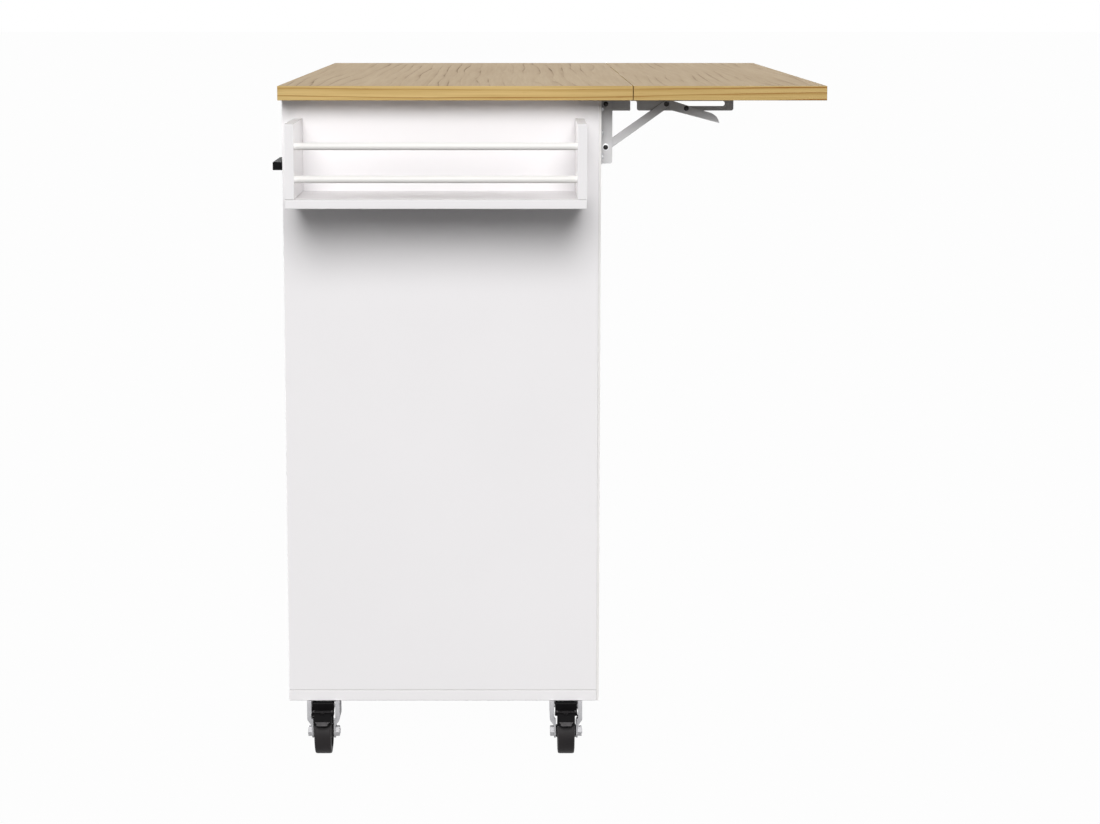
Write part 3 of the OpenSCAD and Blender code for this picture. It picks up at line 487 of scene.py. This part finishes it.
for node in ("base_board", "end_panel_right", "end_panel_left", "centre_divider",
             "spice_rack_shelf", "spice_rack_upright_front", "spice_rack_upright_back",
             "drawer_front_right", "drawer_front_left"):
    plain_board(node)
plain_board("back_panel", 0.3 * MM, BARE_BOARD)
for node in ("worktop", "leaf"):
    oak_board(node)
for side in SIDES:
    door_board(side)
for node in ("drawer_dividers", "top_ties", "adjustable_shelves", "drawer_box_right",
             "drawer_box_left"):
    eased_copy(node, 0.5 * MM)


# ---------------------------------------------------------------- pulls and plates

for side in SIDES:
    eased_copy("drawer_pull_" + side, 0.8 * MM, 3)
    eased_copy("door_pull_" + side, 0.8 * MM, 3)
    plate("latch_lever_" + side)
    eased_copy("drawer_runners_" + side, 0.2 * MM)
for node in ("bracket_legs", "bracket_arms", "leaf_rails"):
    plate(node)
for node in ("leaf_hinge_plates_fixed", "leaf_hinge_plates_moving", "drawer_slides"):
    eased_copy(node, 0.2 * MM)
eased_copy("door_catches", 0.8 * MM, 3)


# ---------------------------------------------------------------- round pieces


def rod(bm, low, high, axis, chamfer, steps=32):
    """A round bar with chamfered ends that fills a box, along axis 0, 1 or 2."""
    across = (axis + 1) % 3
    radius = (high[across] - low[across]) / 2
    length = high[axis] - low[axis]
    start = (low + high) / 2
    start[axis] = low[axis]
    along = (X, Y, Z)[axis]
    outline = [(0, 0), (radius - chamfer, 0), (radius, chamfer), (radius, length - chamfer),
               (radius - chamfer, length), (0, length)]
    turned(bm, outline, start, along, steps)


def rods(node, axis, chamfer, steps):
    """A chamfered bar for each solid of a node."""
    bm = bmesh.new()
    for low, high in solids(node):
        rod(bm, low, high, axis, chamfer, steps)
    return piece(node + "_rods", bm, node, crease=35.0, turn_out=True)


rods("spice_rack_rails", 1, 0.4 * MM, 64)
rods("shelf_pins", 0, 0.5 * MM, 24)


RIVET_HEAD = ((0, 0.72), (0.28, 0.74), (0.36, 0.95), (0.62, 0.92), (0.86, 0.62), (1, 0.2))
CABINET_MIDDLE_X = -50.5 * MM


def rivet(bm, at, outward, radius, height):
    """A domed rivet head with a dimple, standing on a face and a little sunk in it."""
    outline = [(radius * far, height * rise) for far, rise in RIVET_HEAD]
    turned(bm, outline + [(radius, -0.2 * MM), (0, -0.2 * MM)], at, outward)


def rivets(node):
    """Each rivet of a node, with a shank through its plates, heads on both sides and any ring."""
    bm = bmesh.new()
    for low, high in solids(node):
        centre = (low + high) / 2
        outward = X if centre.x > CABINET_MIDDLE_X else -X
        half = (high.x - low.x) / 2
        radius = (high.y - low.y) / 2
        shank, length = 2.5 * MM, 2 * half - 1.4 * MM
        turned(bm, [(0, 0), (shank, 0), (shank, length), (0, length)],
               centre - outward * (half - 0.6 * MM), outward, 24)
        face = centre + outward * (half - 1.2 * MM)
        rivet(bm, face, outward, 3.3 * MM, 1.2 * MM)
        rivet(bm, centre - outward * (half - 1.0 * MM), -outward, 3.7 * MM, 1.0 * MM)
        if radius > 4.2 * MM:
            bore, rim = 3.1 * MM, 4.6 * MM
            paint(turned(bm, [(bore, -0.35 * MM), (rim, -0.35 * MM), (rim, -0.1 * MM),
                              (rim - 0.3 * MM, 0.1 * MM), (bore, 0.1 * MM), (bore, -0.35 * MM)],
                         face, outward), 1)
    return piece(node + "_heads", bm, node, [FINISH["black_rivet"], WHITE_RING], crease=35.0,
                 turn_out=True)


def brace(side):
    """A brace with the blackened pin at its upper end, its narrow edges in painted shade."""
    node = "brace_" + side
    bm = node_copy(node)
    low, high = max(solids(node), key=lambda s: s[0].y)
    middle, half, radius = (low + high) / 2, (high.x - low.x) / 2, (high.y - low.y) / 2
    pin = [v for v in bm.verts
           if math.hypot(v.co.y - middle.y, v.co.z - middle.z) < radius + 0.03 * MM]
    bmesh.ops.delete(bm, geom=pin, context="VERTS")
    eased(bm, 0.25 * MM)
    paint_edge_shade(bm, 2)
    for way in (-1, 1):
        outline = [(0, half - 0.25 * MM), (radius * 0.3, half - 0.25 * MM), (radius * 0.45, half),
                   (radius * 0.8, half), (radius, half - 0.3 * MM), (radius, 0), (0, 0)]
        paint(turned(bm, outline, middle, X * way), 1)
    finishes = [FINISH["bracket_steel"], FINISH["black_rivet"], PAINTED_EDGE_SHADE]
    return piece(node + "_plate", bm, node, finishes, crease=35.0, turn_out=True)


rivets("bracket_rivets")
rivets("lever_rivets")
for side in SIDES:
    brace(side)


def screw(bm, top, outward, length):
    """A pan head screw with a cross recess: top is the top of its head."""
    head, rise, rim = 3.8 * MM, 1.6 * MM, 2.5 * MM
    before = set(bm.verts)
    outline = [(rim, rise), (3.2 * MM, 1.3 * MM), (head, 0.7 * MM), (head, 0.1 * MM),
               (1.9 * MM, 0.0), (1.9 * MM, rise - length + 1.5 * MM), (0, rise - length)]
    turned(bm, outline, (0, 0, 0), Z, 24)
    arm, half = 1.7 * MM, 0.42 * MM
    plan = [(half, half), (half, arm), (-half, arm), (-half, half), (-arm, half), (-arm, -half),
            (-half, -half), (-half, -arm), (half, -arm), (half, -half), (arm, -half), (arm, half)]
    cross = [bm.verts.new((x, y, rise)) for x, y in plan]
    lip = [bm.edges.new((a, b)) for a, b in zip(cross, cross[1:] + cross[:1])]
    mouth = [e for e in bm.edges if e.is_boundary and e not in lip
             and all(v not in before and abs(v.co.z - rise) < 1e-7 for v in e.verts)]
    bmesh.ops.bridge_loops(bm, edges=mouth + lip)
    floor = bmesh.ops.extrude_edge_only(bm, edges=lip)["geom"]
    deep = [v for v in floor if isinstance(v, bmesh.types.BMVert)]
    bmesh.ops.scale(bm, vec=(0.6, 0.6, 1), verts=deep)
    bmesh.ops.translate(bm, vec=(0, 0, -1.0 * MM), verts=deep)
    bmesh.ops.contextual_create(bm, geom=[e for e in floor if isinstance(e, bmesh.types.BMEdge)
                                          and all(v in deep for v in e.verts)])
    made = [v for v in bm.verts if v not in before]
    place = facing(Vector(top) - outward * rise, outward)
    bmesh.ops.transform(bm, matrix=place, verts=made)


def screws(node):
    """A screw for each solid of a node: the head is down on an upright one, else towards +Y."""
    bm = bmesh.new()
    for low, high in solids(node):
        middle = (low + high) / 2
        if high.z - low.z > high.y - low.y:
            screw(bm, (middle.x, middle.y, low.z), -Z, high.z - low.z)
        else:
            screw(bm, (middle.x, high.y, middle.z), Y, high.y - low.y)
    return piece(node + "_heads", bm, node, crease=35.0, turn_out=True)


screws("cabinet_screws")
screws("leaf_screws")


def pivot_pins():
    """The pins that the doors turn on; the lower ones have a collar."""
    bm = bmesh.new()
    for low, high in solids("door_pivot_pins"):
        middle = (low + high) / 2
        start = Vector((middle.x, middle.y, low.z))
        length = high.z - low.z
        pin, collar = 2.5 * MM, 5 * MM
        outline = [(0, 0), (2.2 * MM, 0), (pin, 0.3 * MM), (pin, length - 0.5 * MM),
                   (2.0 * MM, length), (0, length)]
        if high.x - low.x > 2 * pin + MM:
            outline[3:3] = [(pin, 8 * MM), (4.8 * MM, 8 * MM), (collar, 8.2 * MM),
                            (collar, 9.5 * MM), (4.8 * MM, 9.7 * MM), (pin, 9.7 * MM)]
        turned(bm, outline, start, Z)
    return piece("door_pivot_pins_turned", bm, "door_pivot_pins", crease=35.0, turn_out=True)


pivot_pins()


# ---------------------------------------------------------------- casters


THREAD_TURNS = 11
# Half of a wheel's outline in millimetres, from its bore to its tread: (radius, half width)
WHEEL_WEB = ((9.3, 9.6), (10.2, 8.5), (15.0, 8.5), (15.4, 8.9), (16.4, 8.9), (16.8, 8.5),
             (21.6, 8.5), (22.4, 9.2), (22.9, 11.0), (23.6, 11.6), (26.0, 11.7), (29.4, 11.2),
             (30.1, 10.9), (30.6, 10.3), (30.85, 9.4), (30.97, 8.0))
BOLT_RADIUS = 3.9 * MM
HEX_CORNER = 7.5 * MM
HEX_HEIGHT = 5.6 * MM
FLATS_LEVEL = math.radians(30)
RIBS_FROM_TIP = (14.6 * MM, 17.4 * MM, 20.2 * MM)


def stems():
    """Threaded stem, ball race and king pin of each caster."""
    bm = bmesh.new()
    for low, high in solids("caster_stems"):
        middle = (low + high) / 2
        drop = high.z - low.z
        neck, disc, thread, pitch = 5 * MM, 15 * MM, 4 * MM, 1.2 * MM
        outline = [(0, 0), (7 * MM, 0), (8 * MM, 0.8 * MM), (8 * MM, 2.3 * MM),
                   (7.8 * MM, 2.5 * MM), (neck, 2.5 * MM)]
        race = drop - 15.2 * MM
        outline += [(neck, race), (14 * MM, race), (disc, race + 0.4 * MM),
                    (disc, race + 1.0 * MM), (14.8 * MM, race + 1.2 * MM),
                    (thread, race + 1.2 * MM)]
        for i in range(THREAD_TURNS):
            foot = race + 1.4 * MM + i * pitch
            outline += [(3.6 * MM, foot), (thread, foot + pitch / 2)]
        outline += [(3.4 * MM, drop), (0, drop)]
        turned(bm, outline, (middle.x, middle.y, low.z), Z, 40)
    return piece("caster_stems_turned", bm, "caster_stems", crease=35.0, turn_out=True)


def wheel(corner):
    """A moulded wheel: crowned tread, rolled rim, sunk web with a ring, and a hub."""
    node = "caster_wheel_" + corner
    low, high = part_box(node)
    middle = (low + high) / 2
    radius = (high.z - low.z) / 2
    hub = (high.y - low.y) / 2 / MM
    side = [(3.96, hub), (8.2, hub), (9.0, hub - 0.8), *WHEEL_WEB]
    outline = [(r * MM, w * MM) for r, w in side] + [(radius, 0.0)]
    outline += [(r * MM, -w * MM) for r, w in reversed(side)]
    outline.append(outline[0])
    bm = bmesh.new()
    turned(bm, outline, middle, Y, 96)
    return piece(node + "_moulded", bm, node, crease=40.0, turn_out=True)


def hexagon(bm, centre, outward, bolt_end):
    """A chamfered hexagon on a face, with its flats level: a bolt's head, or the nut at its end."""
    before = set(bm.verts)
    bmesh.ops.create_cone(bm, cap_ends=True, segments=6, radius1=HEX_CORNER, radius2=HEX_CORNER,
                          depth=HEX_HEIGHT)
    body = [v for v in bm.verts if v not in before]
    bmesh.ops.rotate(bm, cent=(0, 0, 0), matrix=Matrix.Rotation(FLATS_LEVEL, 3, "Z"), verts=body)
    bmesh.ops.translate(bm, vec=(0, 0, HEX_HEIGHT / 2), verts=body)
    top = [e for e in bm.edges if all(v in body and v.co.z > HEX_HEIGHT * 0.9 for v in e.verts)]
    eased(bm, 0.7 * MM, 2, edges=top)
    if bolt_end:
        foot, rim, crown = (HEX_HEIGHT + rise * MM for rise in (-0.4, 0.3, 0.7))
        turned(bm, [(0, foot), (BOLT_RADIUS, foot), (BOLT_RADIUS, rim),
                    (BOLT_RADIUS - 0.5 * MM, crown), (0, crown)], (0, 0, 0), Z, 24)
    made = [v for v in bm.verts if v not in before]
    bmesh.ops.transform(bm, matrix=facing(centre, outward), verts=made)


def axle(corner):
    """The wheel's bolt and nut, and the pedal's pin."""
    node = "caster_axle_" + corner
    bm = bmesh.new()
    rest = sorted(solids(node), key=lambda s: s[0].z)
    pin_low, pin_high = rest.pop()
    (nut_low, nut_high), (bolt_low, bolt_high) = sorted(rest, key=lambda s: s[1].y - s[0].y)
    nut_way = 1 if nut_low.y + nut_high.y > bolt_low.y + bolt_high.y else -1
    centre = (bolt_low + bolt_high) / 2
    centre.y = (pin_low.y + pin_high.y) / 2
    reach = Vector((BOLT_RADIUS, 17 * MM, BOLT_RADIUS))
    rod(bm, centre - reach, centre + reach, 1, 0.2 * MM)
    for way in (nut_way, -nut_way):
        hexagon(bm, centre + Y * way * 16.2 * MM, Y * way, bolt_end=way == nut_way)
    rod(bm, pin_low, pin_high, 1, 0.4 * MM, 24)
    return piece(node + "_turned", bm, node, crease=32.0, turn_out=True)


def pedal(corner):
    """A moulded pedal with grip ribs across its ledge; its upward faces below the top are painted
    lighter, as painted light from above.
    """
    node = "brake_pedal_" + corner
    bm = node_copy(node)
    eased(bm, 0.4 * MM, 2, over=35.0)
    low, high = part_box(node)
    way = 1 if corner.startswith("right") else -1
    tip = high.x if way > 0 else low.x
    y = (low.y + high.y) / 2
    ledge_top = high.z - 9.1 * MM
    rib_half = 11.5 * MM
    # Upward faces below the top take the lighter grey as painted light.
    for face in bm.faces:
        if face.normal.z > 0.6 and face.calc_center_median().z < high.z - 5 * MM:
            face.material_index = 1
    for near in RIBS_FROM_TIP:
        xs = sorted((tip - way * near, tip - way * (near + 1.0 * MM)))
        boxed(bm, (xs[0], y - rib_half, ledge_top - 0.5 * MM),
              (xs[1], y + rib_half, ledge_top + 0.4 * MM))
    return piece(node + "_moulded", bm, node, [FINISH["black_nylon"], PAINTED_TOP_LIGHT], crease=40.0)


stems()
for corner in CORNERS:
    eased_copy("caster_fork_" + corner, 0.45 * MM, 2, over=35.0)
    wheel(corner)
    axle(corner)
    pedal(corner)


# ---------------------------------------------------------------- floor, light and camera


CAMERA_PLACE = (3.7845, -0.02945, 1.0448)
CAMERA_TILT = math.radians(8.08)
CAMERA_SHIFT = (0.02876, -0.06)
CAMERA_LENS = 82.06
FLOOR_TONE = 0.1
FLOOR_GLOW = 1.03
FLOOR_GLOW_SHARE = 0.95
SKY_STRENGTH = 0.21


def camera():
    """A camera on the spice rack's side, a little above the worktop and tilted down."""
    data = bpy.data.cameras.new("end_view")
    data.lens = CAMERA_LENS
    data.sensor_width = 36.0
    data.shift_x, data.shift_y = CAMERA_SHIFT
    data.clip_end = 200.0
    made = bpy.data.objects.new("end_view", data)
    made.location = CAMERA_PLACE
    made.rotation_euler = (QUARTER - CAMERA_TILT, 0, QUARTER)
    scene.collection.objects.link(made)
    scene.camera = made


def seen_white(tree, lit, white, share=1.0):
    """Shows plain white to camera, glossy and transmission rays, and a shader to all others."""
    path = tree.nodes.new("ShaderNodeLightPath")
    rays = math_node(tree, "MAXIMUM", path.outputs["Is Camera Ray"], path.outputs["Is Glossy Ray"])
    rays = math_node(tree, "MAXIMUM", rays, path.outputs["Is Transmission Ray"])
    mix = put(tree, "ShaderNodeMixShader", {0: times(tree, rays, share), 1: lit, 2: white})
    return mix.outputs[0]


def floor():
    """A wide floor that looks white and throws back little light."""
    bm = bmesh.new()
    bmesh.ops.create_grid(bm, x_segments=1, y_segments=1, size=60.0)
    mesh = bpy.data.meshes.new("studio_floor")
    bm.to_mesh(mesh)
    bm.free()
    made, tree, shader = material("pale_floor", specular=0.0)
    shader.inputs["Base Color"].default_value = (FLOOR_TONE, FLOOR_TONE, FLOOR_TONE, 1)
    shader.inputs["Roughness"].default_value = 0.9
    white = put(tree, "ShaderNodeEmission", {"Strength": FLOOR_GLOW}).outputs[0]
    shown = seen_white(tree, shader.outputs[0], white, FLOOR_GLOW_SHARE)
    tree.links.new(shown, tree.nodes["Material Output"].inputs[0])
    mesh.materials.append(made)
    ground = bpy.data.objects.new("studio_floor", mesh)
    scene.collection.objects.link(ground)


def world():
    """A weak white sky that looks plain white."""
    made = bpy.data.worlds.new("studio")
    made.use_nodes = True
    tree = made.node_tree
    sky = tree.nodes["Background"]
    sky.inputs["Color"].default_value = (1, 1, 1, 1)
    sky.inputs["Strength"].default_value = SKY_STRENGTH
    white = put(tree, "ShaderNodeBackground", {"Color": (1, 1, 1, 1), "Strength": 1.0}).outputs[0]
    shown = seen_white(tree, sky.outputs[0], white)
    tree.links.new(shown, tree.nodes["World Output"].inputs[0])
    scene.world = made


def soft_light(name, bearing, elevation, spread, strength):
    """A broad far lamp: bearing is where it stands, 0 on +X and 90 on +Y, all in degrees."""
    data = bpy.data.lights.new(name, "SUN")
    data.angle = math.radians(spread)
    data.energy = strength
    made = bpy.data.objects.new(name, data)
    turn, rise = math.radians(bearing), math.radians(elevation)
    aim = -Vector((math.cos(turn) * math.cos(rise), math.sin(turn) * math.cos(rise),
                   math.sin(rise)))
    made.rotation_euler = aim.to_track_quat("-Z", "Y").to_euler()
    made.location = -aim * 6
    scene.collection.objects.link(made)


scene.view_settings.view_transform = "Standard"
camera()
floor()
world()
soft_light("end_light", 0, 26, 32, 2.66)
soft_light("front_light", -90, 12, 24, 1.85)
soft_light("far_light", 180, 12, 24, 1.9)
soft_light("back_light", 90, 12, 24, 1.45)
